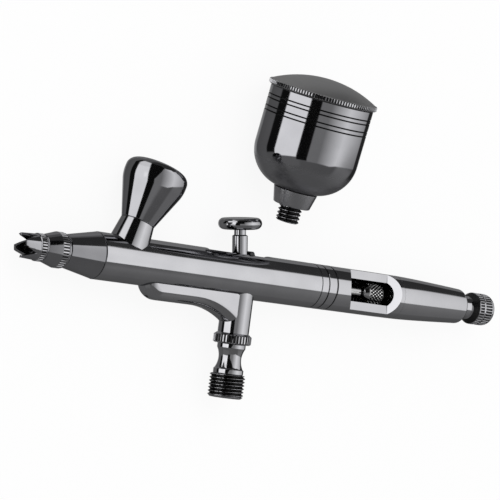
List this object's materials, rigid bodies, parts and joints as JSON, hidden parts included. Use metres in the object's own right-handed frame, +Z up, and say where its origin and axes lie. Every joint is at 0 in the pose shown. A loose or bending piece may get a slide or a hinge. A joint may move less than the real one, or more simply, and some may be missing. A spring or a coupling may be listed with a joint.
{
  "type": "airbrush gun",
  "caption": "Dual-action gravity-feed airbrush gun with crown cap, funnel cup, arm-mounted air valve, cut-away handle and preset knob, beside a spare lidded cup.",
  "frame": {"origin": "on the bench, under the middle of the gun and spare cup lying together on their sides", "axes": "+X along the barrel from nose to tail, +Y from the air inlet up to the trigger and cups, +Z up off the bench"},
  "size_m": [0.1608, 0.0896, 0.0328],
  "materials": {
    "black_nickel": "polished black nickel plate",
    "bright_chrome": "polished",
    "steel": "ground",
    "brass": "machined",
    "ptfe": "matte",
    "rubber": "matte"
  },
  "bodies": {
    "gun": {"barrel": "black_nickel", "valve_bracket": "black_nickel", "crown_cap": "black_nickel", "nozzle_cap": "black_nickel", "nozzle": "brass", "nozzle_seal": "ptfe", "head_cone": "black_nickel", "head_oring": "rubber", "needle_packing": "ptfe", "packing_screw": "brass", "plunger_packing": "ptfe", "valve_lock_ring": "black_nickel", "air_inlet": "bright_chrome", "valve_plug": "brass", "valve_spring": "steel", "lever_pin": "steel", "spring_housing": "brass", "tension_screw": "brass", "needle_spring": "steel", "handle": "black_nickel"},
    "valve_group": {"plunger": "steel", "valve_pin": "steel", "valve_seal": "rubber"},
    "trigger": {"trigger_stem": "bright_chrome", "trigger_pin": "steel", "trigger_pad": "black_nickel"},
    "lever": {"back_lever": "steel"},
    "needle_group": {"needle": "steel", "needle_tube": "steel"},
    "chuck_nut": {"chuck_nut": "bright_chrome"},
    "preset_slide": {"preset_oring": "rubber"},
    "preset_knob": {"preset_knob": "black_nickel", "preset_stem": "steel"},
    "cup_slide": {"funnel_cup_oring": "rubber"},
    "funnel_cup": {"funnel_cup": "black_nickel"},
    "spare_cup": {"spare_bowl": "black_nickel", "spare_stem": "black_nickel"},
    "spare_lid": {"spare_lid": "black_nickel", "spare_lid_seal": "rubber"}
  },
  "joints": [
    {"name": "trigger_press", "type": "slide", "parent": "gun", "child": "valve_group", "axis": [0, -1, 0], "range_m": [0, 0.0022], "stiffness_N_per_m": 1500, "springref_m": -0.0015, "deforming": ["valve_spring"]},
    {"name": "trigger_pull", "type": "hinge", "parent": "valve_group", "child": "trigger", "pos_m": [-0.01105, -0.01364, 0.0085], "axis": [0, 0, -1], "range_deg": [0, 25.1]},
    {"name": "lever_swing", "type": "hinge", "parent": "gun", "child": "lever", "pos_m": [-0.00645, -0.01504, 0.0085], "axis": [0, 0, -1], "range_deg": [0, 26.24]},
    {"name": "needle_draw", "type": "slide", "parent": "gun", "child": "needle_group", "axis": [1, 0, 0], "range_m": [0, 0.002], "stiffness_N_per_m": 600, "springref_m": -0.005, "deforming": ["needle_spring"]},
    {"name": "chuck_nut_turn", "type": "hinge", "parent": "needle_group", "child": "chuck_nut", "pos_m": [0.03495, -0.01174, 0.0085], "axis": [1, 0, 0], "range_deg": [0, 360]},
    {"name": "preset_advance", "type": "slide", "parent": "gun", "child": "preset_slide", "axis": [1, 0, 0], "range_m": [-0.002, 0.003]},
    {"name": "preset_turn", "type": "hinge", "parent": "preset_slide", "child": "preset_knob", "pos_m": [0.07395, -0.01174, 0.0085], "axis": [1, 0, 0], "range_deg": [-1441, 2161]},
    {"name": "funnel_cup_rise", "type": "slide", "parent": "gun", "child": "cup_slide", "axis": [0.2974, 0.9548, 0], "range_m": [0, 0.006]},
    {"name": "funnel_cup_turn", "type": "hinge", "parent": "cup_slide", "child": "funnel_cup", "pos_m": [-0.04643, -0.00171, 0.0085], "axis": [0.2974, 0.9548, 0], "range_deg": [0, 2881]},
    {"name": "spare_cup_lift", "type": "slide", "parent": "gun", "child": "spare_cup", "axis": [0, 0, 1], "range_m": [0, 0.08]},
    {"name": "spare_lid_pull", "type": "slide", "parent": "spare_cup", "child": "spare_lid", "axis": [0.017, 0.9742, 0.225], "range_m": [0, 0.02]}
  ],
  "couplings": [
    {"joint": "trigger_pull", "follows": "needle_draw", "rad_per_m": 218.17},
    {"joint": "lever_swing", "follows": "needle_draw", "rad_per_m": 228.08},
    {"joint": "preset_turn", "follows": "preset_advance", "rad_per_m": 12566},
    {"joint": "funnel_cup_turn", "follows": "funnel_cup_rise", "rad_per_m": 8377.6}
  ]
}
